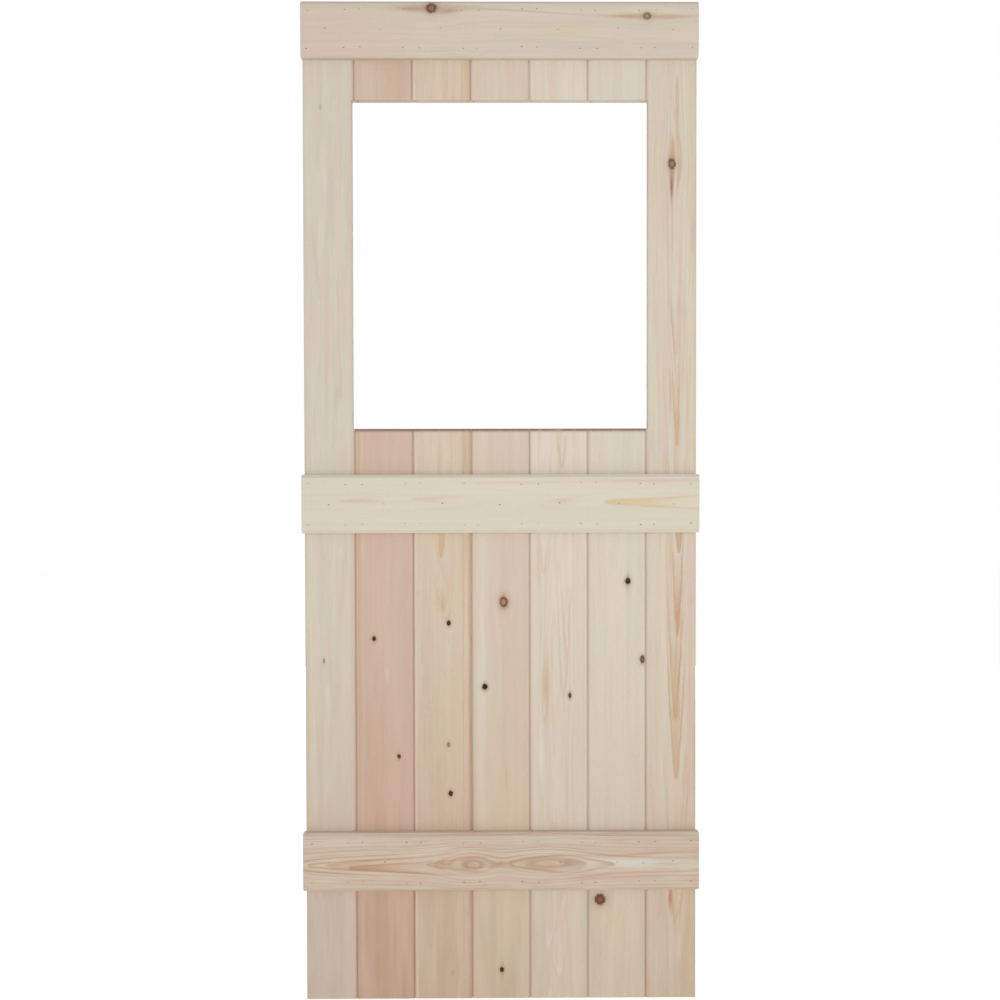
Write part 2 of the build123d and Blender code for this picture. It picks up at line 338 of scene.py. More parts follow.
# Stains of each plank
STAINS = {
    "board_1": [
        stain(-346, 1240, 2, 120, PINK, 0.5),
        stain(-352, 1620, 9, 60, ASH, 0.4),
        stain(-345, 610, 5, 28, PALE, 0.4),
        stain(-295, 990, 4, 4000, PINK, 0.35),
    ],
    "board_2": [
        stain(-283, 700, 1.8, 750, TAN, 0.45),
        stain(-275, 700, 2.2, 750, STRAW, 0.34),
        stain(-208, 1830, 15, 90, TAN, 0.18),
        stain(-262, 1830, 20, 90, ASH, 0.15),
        stain(-254, 330, 26, 150, TAN, 0.22),
        stain(-228, 652, 4, 16, ASH, 0.35),
    ],
    "board_3": [
        stain(-62, 500, 2.6, 900, RUST, 0.6),
        stain(-62, 1900, 9, 500, TAN, 0.4),
        stain(-75, 900, 1.8, 4000, TAN, 0.35),
        stain(-72, 1100, 6, 60, TAN, 0.4),
        stain(-66, 900, 9, 50, TAN, 0.3),
        stain(-120, 1110, 30, 60, PALE, 0.3),
        stain(-117, 800, 8, 26, TAN, 0.3),
        stain(-170, 900, 2.5, 4000, PALE, 0.5),
    ],
    "board_4": [
        stain(-37, 680, 13, 260, MILK, 0.45),
        stain(20, 300, 40, 210, STRAW, 0.3),
        stain(30, 690, 36, 330, PINK, 0.3),
        stain(10, 442, 1.6, 22, RUST, 0.3),
    ],
    "board_5": [
        stain(90, 622, 6, 62, TAN, 0.65),
        stain(75, 880, 4, 60, TAN, 0.3),
        stain(137, 850, 5, 80, PALE, 0.8),
        stain(126, 740, 2.5, 60, PINK, 0.5, slope=-0.06),
        stain(80, 490, 5, 50, PALE, 0.6),
        stain(112, 1110, 60, 60, PALE, 0.35),
    ],
    "board_6": [
        stain(230, 820, 28, 200, PALE, 0.35),
        stain(228, 150, 26, 40, STRAW, 0.35),
    ],
    "board_7": [
        stain(341, 1622, 2.2, 26, rgb(120, 78, 54), 0.9),
        stain(343, 1702, 2.8, 22, TAN, 0.7),
        stain(342, 1526, 1.6, 44, PINK, 0.7),
        stain(367, 1486, 9, 85, MILK, 0.5),
        stain(384, 1533, 4, 44, TAN, 0.3),
        stain(343, 1330, 1.7, 85, BARK, 0.5, slope=-0.08),
        stain(356, 1388, 2.6, 26, PINK, 0.7),
        stain(373, 1192, 1.8, 50, PINK, 0.7),
        stain(338, 1200, 1.6, 56, BARK, 0.4),
        stain(333, 900, 3, 170, STRAW, 0.5),
        stain(378, 760, 6, 300, PINK, 0.45),
        stain(340, 203, 3.8, 26, RUST, 1),
        stain(374, 150, 9, 420, TAN, 0.32),
    ],
    "ledge_top": [
        stain(1966, -175, 3, 26, rgb(168, 140, 106), 0.6),
        stain(1963, -100, 3, 22, rgb(168, 140, 106), 0.6),
        stain(1962, 20, 1.8, 120, rgb(178, 158, 140), 0.6, slope=-0.055),
        stain(1951, 250, 3, 34, RUST, 0.45),
        stain(1949, 345, 2.6, 40, RUST, 0.4),
        stain(1920, 130, 5.5, 32, STRAW, 0.6),
        stain(1929, 333, 4, 22, STRAW, 0.4),
        stain(1974, -20, 9, 600, rgb(198, 190, 172), 0.5),
    ],
    "ledge_middle": [
        stain(1039, 300, 4, 110, PINK, 0.5),
        stain(1037, 60, 2, 110, PINK, 0.35),
        stain(1000, 122, 5, 20, PINK, 0.4),
        stain(1001, -272, 2.5, 34, PINK, 0.5),
        stain(1004, -130, 2.5, 34, PINK, 0.4, slope=0.06),
    ],
    "ledge_bottom": [
        stain(278, -114, 3.5, 14, RUST, 0.6),
        stain(279, -2, 2.5, 10, RUST, 0.6),
        stain(280, 136, 4, 12, RUST, 0.5),
        stain(280, 240, 7, 78, ASH, 0.85),
        stain(298, 290, 1.8, 100, RUST, 0.55, slope=0.055),
        stain(322, -330, 12, 90, ASH, 0.3),
        stain(250, 120, 16, 160, PINK, 0.4),
    ],
}

# Flames of each plank
FLAMES = {
    "board_3": [
        flame(-118, 884, 190, 13, TAN, 0.6, 0.55),
        flame(-112, 776, 60, 8, TAN, 0.3, 0.3),
    ],
    "board_5": [
        flame(122, 1062, 90, 10, PINK, 0.1, 0.6),
        flame(86, 850, 90, 9, TAN, 0.1, 0.5),
        flame(126, 600, 330, 17, PINK, 0.1, 0.5),
        flame(133, 690, 110, 7, PALE, 0.7, 0.3),
        flame(92, 96, 80, 16, ASH, 0.6, 0.4, slope=0.12),
        flame(118, 40, 70, 18, ASH, 0.5, 0.4, slope=-0.1),
        flame(128, 215, -80, 12, ASH, 0.5, 0.3, slope=0.15),
        flame(86, 560, 70, 7, MILK, 0.8, 0.4, slope=0.05),
    ],
    "board_7": [
        flame(352, 1105, 260, 10, TAN, 0.6, 0.55, slope=-0.02),
        flame(349, 1300, 330, 14, MILK, 0.4, 0.15, slope=-0.02),
        flame(356, 893, 180, 12, TAN, 0.8, 0.7),
        flame(353, 724, 260, 13, TAN, 0.75, 0.7),
        flame(349, 556, 330, 17, TAN, 0.6, 0.65),
        flame(351, 436, 330, 20, TAN, 0.6, 0.65),
        flame(352, 120, 420, 26, STRAW, 0.3, 0.25),
    ],
    "ledge_middle": [
        flame(997, 200, 260, 15, STRAW, 0.95, 0.5),
        flame(1001, -320, 110, 8, PINK, 0.5, 0.3),
        flame(1003, -180, 110, 8, PINK, 0.3, 0.3),
    ],
    "ledge_bottom": [
        flame(276, -389, 330, 19, STRAW, 0.3, 0.7),
        flame(271, -306, 210, 13, RUST, 0.75, 0.8),
        flame(277, -150, 150, 12, TAN, 0.35, 0.6),
        flame(278, 12, 190, 17, STRAW, 0.25, 0.7),
    ],
}


class Field:
    """A shader value that changes over a surface, so that a pattern can be written in plain arithmetic."""

    def __init__(self, tree, socket):
        self.tree = tree
        self.socket = socket

    def math(self, operation, *others, clamp=False):
        """Result of a math node on this value and up to two others."""
        node = put(self.tree, "ShaderNodeMath", operation=operation, use_clamp=clamp)
        for slot, value in zip(node.inputs, (self, *others)):
            feed(slot, value)
        return Field(self.tree, node.outputs[0])

    def __add__(self, other):
        return self.math("ADD", other)

    def __sub__(self, other):
        return self.math("SUBTRACT", other)

    def __mul__(self, other):
        return self.math("MULTIPLY", other)

    def __truediv__(self, other):
        return self.math("DIVIDE", other)

    def clamped(self):
        """The value, held between 0 and 1."""
        return self.math("ADD", 0.0, clamp=True)

    def between(self, first, last):
        """Runs from one value to another while this one runs from 0 to 1."""
        return self * (last - first) + first

    def rise(self, low, high):
        """0 below one value, 1 above the other, and smooth between."""
        node = put(self.tree, "ShaderNodeMapRange", interpolation_type="SMOOTHSTEP")
        feed(node.inputs["Value"], self)
        feed(node.inputs["From Min"], low)
        feed(node.inputs["From Max"], high)
        return Field(self.tree, node.outputs["Result"])

    def fall(self, low, high):
        """1 below one value, 0 above the other, and smooth between."""
        return self.rise(low, high).between(1.0, 0.0)

    def bell(self, width):
        """1 where the value is 0, falling away on both sides over the width."""
        share = self / width
        return (share * share * -1.0).math("EXPONENT")

    def parts(self):
        """The three parts of a vector."""
        node = put(self.tree, "ShaderNodeSeparateXYZ")
        feed(node.inputs[0], self)
        return [Field(self.tree, socket) for socket in node.outputs]


def put(tree, kind, **settings):
    """New node of a kind, with its settings."""
    node = tree.nodes.new(kind)
    for name, value in settings.items():
        setattr(node, name, value)
    return node


def feed(slot, value):
    """Gives a socket a plain value, or joins a field to it."""
    if isinstance(value, Field):
        value.tree.links.new(value.socket, slot)
    else:
        slot.default_value = value


def vector(tree, x, y, z):
    """Vector made of three values."""
    node = put(tree, "ShaderNodeCombineXYZ")
    for slot, value in zip(node.inputs, (x, y, z)):
        feed(slot, value)
    return Field(tree, node.outputs[0])


def mixed(tree, share, first, second, blend="MIX"):
    """Colour between two colours."""
    node = put(tree, "ShaderNodeMix", data_type="RGBA", blend_type=blend)
    feed(node.inputs["Factor"], share)
    colours = [slot for slot in node.inputs if slot.type == "RGBA"]
    for slot, colour in zip(colours, (first, second)):
        feed(slot, colour)
    return Field(tree, next(socket for socket in node.outputs if socket.type == "RGBA"))


class Cells(NamedTuple):
    """Cells of a cloudy noise: their size in millimetres, its detail, and its offset from a seed."""

    across: float
    along: float
    detail: float = 2.0
    offset: float = 0.0


# Noise cells of each part of the wood's figure
RAGGED_EDGE = Cells(2.6, 3.4)
STAIN_WANDER = Cells(14.0, 70.0, detail=1.0)
STAIN_FEATHER = Cells(2.0, 60.0)
FLAME_WANDER = Cells(9.0, 46.0)
FLAME_PATCHES = Cells(2.4, 40.0)
BROAD_WAVER = Cells(38.0, 420.0, detail=1.5)
SMALL_WAVER = Cells(8.0, 95.0, detail=1.0)
RING_PATCHES = Cells(14.0, 150.0, detail=1.0, offset=2.3)
TONE_DRIFT = Cells(60.0, 500.0, detail=1.0)
BLUSHES = Cells(24.0, 260.0, offset=3.1)
SAPWOOD = Cells(15.0, 120.0, offset=6.4)
STREAKS = Cells(2.0, 85.0, offset=4.9)
BANDS = Cells(11.0, 640.0, offset=5.3)
FIBRES = Cells(0.6, 34.0, offset=7.7)
DASHES = Cells(0.9, 9.0, detail=0.0, offset=9.1)

# Slant of a noise's place for each step of its seed, so that two seeds share no line
SEED_DEEP = 0.7
SEED_ALONG = 1.3


def noise(point, cells, seed):
    """Cloudy noise from 0 to 1 in cells of a kind."""
    tree = point.tree
    seed = seed + cells.offset if cells.offset else seed
    x, y, z = point.parts()
    x = x / cells.across + seed
    y = y / cells.across + seed * SEED_DEEP
    z = z / cells.along + seed * SEED_ALONG
    node = put(tree, "ShaderNodeTexNoise")
    feed(node.inputs["Vector"], vector(tree, x, y, z))
    feed(node.inputs["Scale"], 1.0)
    feed(node.inputs["Detail"], cells.detail)
    return Field(tree, node.outputs["Fac"])


def swing(point, cells, seed):
    """Cloudy noise to both sides of 0."""
    return noise(point, cells, seed) - 0.5


def cloud(point, scale):
    """Plain cloudy noise of a vector, with that many cells to a metre."""
    node = put(point.tree, "ShaderNodeTexNoise")
    feed(node.inputs["Vector"], point)
    feed(node.inputs["Scale"], scale)
    return Field(point.tree, node.outputs["Fac"])


# Sockets of the groups that hold a vector or a colour, and not a number
VECTORS = {"point", "grain", "bent"}
COLOURS = {"colour", "tint", "heart", "line", "tone", "far_tone", "blush", "sap"}


def new_group(name, takes, gives):
    """Empty node group with sockets of the names given, its inputs as fields, and its outputs."""
    tree = bpy.data.node_groups.new(name, "ShaderNodeTree")
    for way, labels in (("INPUT", takes), ("OUTPUT", gives)):
        for label in labels.split():
            kind = "Vector" if label in VECTORS else "Color" if label in COLOURS else "Float"
            tree.interface.new_socket(label, in_out=way, socket_type=f"NodeSocket{kind}")
    entry = put(tree, "NodeGroupInput")
    given = SimpleNamespace(**{label: Field(tree, entry.outputs[label]) for label in takes.split()})
    return tree, given, put(tree, "NodeGroupOutput").inputs


def use_group(tree, group, **values):
    """Places a group in a tree, with its inputs given by name, and returns its outputs by name."""
    node = put(tree, "ShaderNodeGroup", node_tree=group)
    for label, value in values.items():
        feed(node.inputs[label], value)
    return {socket.name: Field(tree, socket) for socket in node.outputs}


# How far the grain bends round a knot, in radii, and how much, from the palest knot to the darkest
BEND_ACROSS = 3.2
BEND_ALONG = 6.5
BEND = (0.27, 0.77)


def bend_group():
    """Grain that bends round one knot."""
    tree, given, result = new_group("grain round a knot", "bent point across along radius depth", "bent")
    x, _, z = given.point.parts()
    aside = x - given.across
    near = aside.bell(given.radius * BEND_ACROSS) * (z - given.along).bell(given.radius * BEND_ALONG)
    pull = near * given.depth.between(*BEND)
    bent_x, bent_y, bent_z = given.bent.parts()
    feed(result["bent"], vector(tree, bent_x - aside * pull, bent_y, bent_z))
    return tree


# Places and widths of a knot's parts, in radii from its middle, and how far its edge is ragged
CORE_EDGE = (0.55, 1.22)
RIM_AT = 0.76
RIM_WIDTH = 0.34
HALO_AT = 1.0
HALO_WIDTH = 1.0
TAIL_WIDTH = 0.75
RAGGED = 0.88

# Strengths of the same parts, and of the stain that the halo and the tail make together
RIM = 0.9
HALO = 0.45
TAIL = 0.75
STAINED = 0.6

# Growth rings within a knot to each radius, as an angle, and their strength
KNOT_RINGS = 11.0
KNOT_RING = 0.12

# Height of a knot's core and depth of its rim, in shares of the bump
CORE_HEIGHT = 0.6
RIM_DEPTH = 1.1

# Resin round a knot, its wood gone black, its inner rings and its live bark
RESIN = rgb(160, 118, 82)
DEAD_WOOD = rgb(44, 27, 16)
INNER_RING = rgb(84, 50, 34)
LIVE_BARK = rgb(96, 62, 42)


def knot_distance(given):
    """Distance from a knot's middle in radii, with the places across and along it."""
    x, y, z = given.point.parts()
    aside = x - given.across
    onward = z - given.along - y * given.lean
    ragged = swing(given.point, RAGGED_EDGE, given.along)
    reach = (aside * aside + (onward / given.stretch).math("POWER", 2.0)).math("SQRT")
    return reach / given.radius + ragged * given.depth * RAGGED, aside, onward


def knot_group():
    """One knot painted over the wood: its stain, rim and heart, and the height of its face."""
    tree, given, result = new_group(
        "knot", "colour height point across along radius stretch lean dead heart depth trail",
        "colour height",
    )
    edge, aside, onward = knot_distance(given)
    depth = given.depth
    core = edge.fall(*CORE_EDGE) * depth
    rim = (edge - RIM_AT).bell(RIM_WIDTH) * depth
    halo = (edge - HALO_AT).bell(HALO_WIDTH) * HALO
    tail = aside.bell(given.radius * TAIL_WIDTH) * onward.bell(given.trail) * TAIL
    stained = ((halo + tail) * depth).clamped()
    colour = mixed(tree, stained * STAINED, given.colour, linear(RESIN))
    year = (edge * KNOT_RINGS).math("SINE") * KNOT_RING + KNOT_RING
    heart = mixed(tree, year, given.heart, linear(INNER_RING))
    colour = mixed(tree, core, colour, mixed(tree, given.dead, heart, linear(DEAD_WOOD)))
    bark = mixed(tree, given.dead, linear(LIVE_BARK), linear(DEAD_WOOD))
    feed(result["colour"], mixed(tree, rim * RIM, colour, bark))
    feed(result["height"], given.height + core * CORE_HEIGHT - rim * RIM_DEPTH)
    return tree


# How far a stain wanders across the grain, in half widths, and its strength from thin to full
STAIN_SWING = 1.6
STAIN_SHARE = (0.55, 1.45)


def stain_group():
    """One long soft patch of another colour, feathered at its edges."""
    tree, given, result = new_group(
        "stain", "colour point across along half_width half_length slope tint strength reach", "colour",
    )
    point = given.point
    x, y, z = point.parts()
    onward = z - given.along
    wander = swing(point, STAIN_WANDER, given.along) * given.half_width * STAIN_SWING
    aside = x - given.across - onward * given.slope + wander
    feather = noise(point, STAIN_FEATHER, given.across).between(*STAIN_SHARE)
    share = aside.bell(given.half_width) * onward.bell(given.half_length) * y.bell(given.reach)
    share = share * given.strength * feather
    feed(result["colour"], mixed(tree, share.clamped(), given.colour, given.tint))
    return tree


# How far a flame wanders across the grain, in millimetres, and its strength from thin to full
FLAME_SWING = 5.0
FLAME_SHARE = (0.4, 1.5)

# How a flame opens: 1 for straight sides, and less for a blunter tip
FLAME_OPENING = 0.62

# Shares of a flame's length over which it begins, its fill fades and its outline fades
FLAME_BEGINS = (0.0, 0.03)
FILL_FADES = (0.1, 0.75)
OUTLINE_FADES = (0.45, 1.0)

# Soft edge of a flame's fill about its outline, and the outline's width, in millimetres
FLAME_EDGE = (-2.6, 1.2)
OUTLINE_WIDTH = 1.7


def flame_group():
    """Pointed figure: two lines that open from a tip, with late wood between them that fades away."""
    tree, given, result = new_group(
        "flame", "colour point across tip length half_width slope tint fill outline line", "colour",
    )
    point = given.point
    x, _, z = point.parts()
    onward = z - given.tip
    wander = swing(point, FLAME_WANDER, given.tip) * FLAME_SWING
    aside = (x - given.across - onward * given.slope + wander).math("ABSOLUTE")
    share = (onward / given.length).clamped()
    outside = aside - share.math("POWER", FLAME_OPENING) * given.half_width
    begun = share.rise(*FLAME_BEGINS)
    fill = outside.fall(*FLAME_EDGE) * begun * share.fall(*FILL_FADES) * given.fill
    lines = outside.bell(OUTLINE_WIDTH) * begun * share.fall(*OUTLINE_FADES) * given.outline
    patchy = noise(point, FLAME_PATCHES, given.across).between(*FLAME_SHARE)
    colour = mixed(tree, (fill * patchy).clamped(), given.colour, given.tint)
    feed(result["colour"], mixed(tree, (lines * patchy).clamped(), colour, given.line))
    return tree


# Shares of the rings' waver that are broad and small
BROAD = 2.0
SMALL = 0.6

# How slowly the rings' width changes from ring to ring, and by how many rings
WIDTH_CHANGES = 0.45
WIDTH_CHANGE = 1.6

# Shares of a ring: the end of its early wood, how far a season moves it, full late wood, and its end
EARLY_ENDS = 0.9
SEASON_MOVES = 0.2
LATE_FULL = 0.86
LATE_ENDS = (0.9, 1.0)

# Strength of the rings by season, in patches with soft edges, and with distance from the pith
SEASON_SHARE = (0.4, 1.0)
PATCH_EDGE = (0.3, 0.7)
PATCH_SHARE = (0.3, 1.0)
FADE_SHARE = (0.15, 1.0)


def ring_group():
    """Growth rings about a pith that runs along the plank, as the strength of their late wood."""
    tree, given, result = new_group(
        "growth rings", "point pith_across pith_depth ring_width late_share waver reach seed", "late",
    )
    point, seed = given.point, given.seed
    x, y, _ = point.parts()
    aside = x - given.pith_across
    deep = y - given.pith_depth
    radius = (aside * aside + deep * deep).math("SQRT")
    wander = swing(point, BROAD_WAVER, seed) * BROAD + swing(point, SMALL_WAVER, seed) * SMALL
    count = (radius + wander * given.waver) / given.ring_width
    uneven = put(tree, "ShaderNodeTexNoise", noise_dimensions="1D")
    feed(uneven.inputs["W"], count * WIDTH_CHANGES + seed)
    feed(uneven.inputs["Scale"], 1.0)
    count = count + Field(tree, uneven.outputs["Fac"]) * WIDTH_CHANGE
    chance = put(tree, "ShaderNodeTexWhiteNoise", noise_dimensions="1D")
    feed(chance.inputs["W"], count.math("FLOOR") + seed)
    season = Field(tree, chance.outputs["Value"])
    part = count.math("FRACT")
    early = given.late_share * -1.0 + EARLY_ENDS
    late = part.rise(early + season * SEASON_MOVES - SEASON_MOVES / 2, LATE_FULL) * part.fall(*LATE_ENDS)
    patchy = noise(point, RING_PATCHES, seed).rise(*PATCH_EDGE).between(*PATCH_SHARE)
    fade = aside.bell(given.reach).between(*FADE_SHARE)
    feed(result["late"], late * season.between(*SEASON_SHARE) * patchy * fade)
    return tree


# Share of a plank's length over which its tone passes into its far tone, and how much that drifts. On the
# boards the darker tone at the foot is partly painted shade, where the light falls off.
TONE_CHANGES = (0.0, 0.48)
DRIFT = 0.6

# Soft edges of the patches of blush and of sapwood, and the sapwood's own colour from end to end
BLUSH_EDGE = (0.36, 0.66)
SAP_EDGE = (0.44, 0.72)
SAP_SHARE = (0.4, 1.0)


def plain_group():
    """Colour of the wood between its rings, drifting along the plank, with broad patches of other tints. On
    the boards the passage from tone to far tone also holds painted shade that darkens the foot.
    """
    tree, given, result = new_group(
        "plain wood", "grain share tone far_tone blush blush_amount sap sap_amount seed", "colour",
    )
    grain, seed = given.grain, given.seed
    # From tone to far tone: on the boards this also holds painted shade that darkens the foot
    ease = given.share.rise(*TONE_CHANGES)
    drift = swing(grain, TONE_DRIFT, seed) * DRIFT
    plain = mixed(tree, (ease + drift).clamped(), given.tone, given.far_tone)
    blush = noise(grain, BLUSHES, seed).rise(*BLUSH_EDGE)
    plain = mixed(tree, blush * given.blush_amount, plain, given.blush)
    sappy = noise(grain, SAPWOOD, seed).rise(*SAP_EDGE)
    sap = mixed(tree, ease.between(*SAP_SHARE), given.tone, given.sap)
    feed(result["colour"], mixed(tree, sappy * given.sap_amount, plain, sap))
    return tree


# Thin streaks of late wood: their soft edge and strength
STREAK_EDGE = (0.52, 0.74)
STREAK = 0.5

# Painted shade and dirt beside a joint's V groove: its colour, its strength and its reach in millimetres
JOINT_SHADE_COLOUR = rgb(168, 134, 110)
JOINT_SHADE = 0.15
JOINT_SHADE_REACH = 5.0

# Soft edge of the short dashes that a plane leaves
DASH_EDGE = (0.70, 0.78)

# Brightness that bands and fibres add, and from plain wood to a dash and to end grain
BAND_LIGHT = 0.12
FIBRE_LIGHT = 0.10
DASH_LIGHT = (1.0, 0.92)
END_LIGHT = (1.0, 0.88)

# Roughness of the face, and what late wood, end grain and fibres add
FACE_ROUGH = 0.66
LATE_ROUGH = -0.08
END_ROUGH = 0.15
FIBRE_ROUGH = 0.12

# Heights of late wood and fibres and depth of a dash, in shares of the bump
LATE_HEIGHT = 0.5
FIBRE_HEIGHT = 0.35
DASH_DEPTH = 0.3


def softwood_group():
    """Planed softwood: rings, streaks and fibres over its plain colour, with painted shade beside its
    joints, and roughness and height.
    """
    tree, given, result = new_group(
        "planed softwood", "grain colour late end joint line line_strength streaks seed",
        "colour roughness height",
    )
    grain, seed = given.grain, given.seed
    late = (given.late * given.line_strength).clamped()
    colour = mixed(tree, late, given.colour, given.line)
    streak = noise(grain, STREAKS, seed).rise(*STREAK_EDGE) * given.streaks
    colour = mixed(tree, streak * STREAK, colour, given.line)
    # Painted shade and dirt darken the wood beside each V joint
    colour = mixed(tree, given.joint * JOINT_SHADE, colour, linear(JOINT_SHADE_COLOUR))
    band = swing(grain, BANDS, seed)
    fibre = swing(grain, FIBRES, seed)
    dash = noise(grain, DASHES, seed).rise(*DASH_EDGE)
    bright = band * BAND_LIGHT + fibre * FIBRE_LIGHT + 1.0
    bright = bright * dash.between(*DASH_LIGHT) * given.end.between(*END_LIGHT)
    grey = put(tree, "ShaderNodeCombineColor")
    for slot in grey.inputs:
        feed(slot, bright)
    feed(result["colour"], mixed(tree, 1.0, colour, Field(tree, grey.outputs[0]), blend="MULTIPLY"))
    rough = late * LATE_ROUGH + given.end * END_ROUGH + fibre * FIBRE_ROUGH + FACE_ROUGH
    feed(result["roughness"], rough.clamped())
    feed(result["height"], late * LATE_HEIGHT + fibre * FIBRE_HEIGHT - dash * DASH_DEPTH)
    return tree


def settings():
    """The leaf's settings in this scene."""
    return bpy.context.scene.ledged_leaf


def groups():
    """The node groups that the planks share, made at their first use."""
    makers = {
        "grain round a knot": bend_group,
        "knot": knot_group,
        "stain": stain_group,
        "flame": flame_group,
        "growth rings": ring_group,
        "plain wood": plain_group,
        "planed softwood": softwood_group,
    }
    return {name: bpy.data.node_groups.get(name) or make() for name, make in makers.items()}


def depth_curve(tree, share, depths):
    """Depth of the pith at a share of the plank's length."""
    node = put(tree, "ShaderNodeFloatCurve")
    points = node.mapping.curves[0].points
    while len(points) < len(depths):
        points.new(0.5, 0.5)
    for step, depth in enumerate(depths):
        points[step].location = (step / (len(depths) - 1), depth / PITH_RANGE)
    node.mapping.update()
    feed(node.inputs["Value"], share)
    return Field(tree, node.outputs[0]) * PITH_RANGE


def given_by(look, *labels):
    """Settings of a look by name, all of them or those named, with its colours as light values."""
    values = {label: getattr(look, label) for label in labels or look.__annotations__}
    return {label: value if isinstance(value, float) else linear(value) for label, value in values.items()}


def new_material(name):
    """New material, its tree and its shader's inputs."""
    material = bpy.data.materials.new(name)
    material.use_nodes = True
    tree = material.node_tree
    return material, tree, tree.nodes["Principled BSDF"].inputs


def coordinates(tree, kind):
    """Places on an object, or the way that its faces look."""
    return Field(tree, put(tree, "ShaderNodeTexCoord").outputs[kind])


# Height of the bump in metres, and its strength
BUMP_HEIGHT = 0.00015
BUMP = 0.5

# Gloss of dry planed wood
WOOD_GLOSS = 0.16

# How far a face must turn towards the grain's end to show end grain
END_GRAIN = (0.8, 0.95)


def wood(name, upright, face_y, start, length, joints, seed):
    """Material of one plank. Its grain runs up a board and across a ledge. Places are in millimetres."""
    look = settings().planks[name]
    shared = groups()
    material, tree, slots = new_material(name)
    x, y, z = coordinates(tree, "Object").parts()
    x_n, _, z_n = coordinates(tree, "Normal").parts()
    across, along, end = (x, z, z_n) if upright else (z, x, x_n)
    point = vector(tree, across * MM, (y - face_y) * MM, along * MM)
    share = ((along * MM - start) / length).clamped()
    grain = {"bent": point}
    for one in look.knots:
        turned = given_by(one, "across", "along", "radius", "depth")
        grain = use_group(tree, shared["grain round a knot"], point=point, **turned, **grain)
    grain = grain["bent"]
    plain = given_by(look, "tone", "far_tone", "blush", "blush_amount", "sap", "sap_amount")
    paint = use_group(tree, shared["plain wood"], grain=grain, share=share, seed=seed, **plain)
    for one in look.stains:
        paint = use_group(tree, shared["stain"], point=grain, **given_by(one), **paint)
    line = linear(look.line)
    for one in look.flames:
        paint = use_group(tree, shared["flame"], point=grain, line=line, **given_by(one), **paint)
    rings = use_group(
        tree, shared["growth rings"], point=grain, pith_depth=depth_curve(tree, share, look.pith_depths),
        seed=seed, **given_by(look, "pith_across", "ring_width", "late_share", "waver", "reach"),
    )
    # Mask of the painted shade and dirt beside the board's two V joints
    shade_at_joints = [(across * MM - joint).bell(JOINT_SHADE_REACH) for joint in joints]
    joint = shade_at_joints[0] + shade_at_joints[1] if joints else 0.0
    end = end.math("ABSOLUTE").rise(*END_GRAIN)
    finish = use_group(
        tree, shared["planed softwood"], grain=grain, end=end, joint=joint, seed=seed,
        **given_by(look, "line", "line_strength", "streaks"), **paint, **rings,
    )
    feed(slots["Roughness"], finish.pop("roughness"))
    for one in look.knots:
        finish = use_group(tree, shared["knot"], point=point, **given_by(one), **finish)
    feed(slots["Base Color"], finish["colour"])
    slots["Specular IOR Level"].default_value = WOOD_GLOSS
    bump = put(tree, "ShaderNodeBump")
    bump.inputs["Strength"].default_value = BUMP
    bump.inputs["Distance"].default_value = BUMP_HEIGHT
    feed(bump.inputs["Height"], finish["height"])
    tree.links.new(bump.outputs["Normal"], slots["Normal"])
    return material


def give(node_name, material):
    """Puts a material on a node of the frame."""
    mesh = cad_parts[node_name].data
    mesh.materials.clear()
    mesh.materials.append(material)


def fill_in(group, values):
    """Gives the named properties of a group their values."""
    for label, value in values.items():
        setattr(group, label, value)


class LEAF_OT_stock_looks(Operator):
    """Sets every plank's colour, figure and knots to those of the leaf in stock"""

    bl_idname = "leaf.stock_looks"
    bl_label = "Stock looks"

    def execute(self, context):
        planks = settings().planks
        planks.clear()
        for name, values in PLANKS.items():
            plank = planks.add()
            plank.name = name
            fill_in(plank, values)
            for marks, table in ((plank.knots, KNOTS), (plank.stains, STAINS), (plank.flames, FLAMES)):
                for values_of_one in table.get(name, []):
                    fill_in(marks.add(), values_of_one)
            if name in CUT_BOARDS:
                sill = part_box(f"{name}_lower")[1].z * MM
                fill_in(plank.stains.add(), dict(SILL_MARK, along=sill - SILL_MARK_BELOW))
        return {"FINISHED"}


# Steps of the seed from board to board and from ledge to ledge, and the first ledge's seed
BOARD_SEED = 11.0
LEDGE_SEED = 13.0
FIRST_LEDGE_SEED = 5.0


class LEAF_OT_boards(Operator):
    """Gives the seven matched boards their wood, with the grain running on across the window"""

    bl_idname = "leaf.boards"
    bl_label = "Boards"

    def execute(self, context):
        height = CAD_BOX[1].z * MM
        face_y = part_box("board_1_left")[0].y
        for number, (name, nodes) in enumerate(BOARDS.items(), start=1):
            low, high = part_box(nodes[0])
            joints = [low.x * MM, high.x * MM]
            material = wood(name, True, face_y, 0.0, height, joints, seed=number * BOARD_SEED)
            for node in nodes:
                give(node, material)
        return {"FINISHED"}


# Vertices this near are one, and faces that meet at less than this angle are flat, in metres and radians
MERGE = 1e-6
FLAT = math.radians(1.0)

# Edges that turn by more than this are sharp, and those of a nail's pocket are shorter than this
SHARP = math.radians(30.0)
POCKET_SIDE = 0.005

# A ledge's outer arrises are longer than this, or lie in its sawn ends
LONG_EDGE = 0.05


def bevelled(shape, edges, size):
    """Rounds edges of a shape and returns the new faces."""
    made = bmesh.ops.bevel(
        shape, geom=edges, offset=size, offset_type="OFFSET", affect="EDGES", segments=2, profile=0.5,
        material=-1, clamp_overlap=True,
    )
    return made["faces"]


def sharp_edges(shape):
    """Edges at which a shape turns sharply."""
    return [edge for edge in shape.edges if edge.calc_face_angle(0.0) > SHARP]


def lies_at(edge, axis, place):
    """Whether both ends of an edge lie at a place on an axis."""
    return all(abs(vert.co[axis] - place) < MERGE for vert in edge.verts)


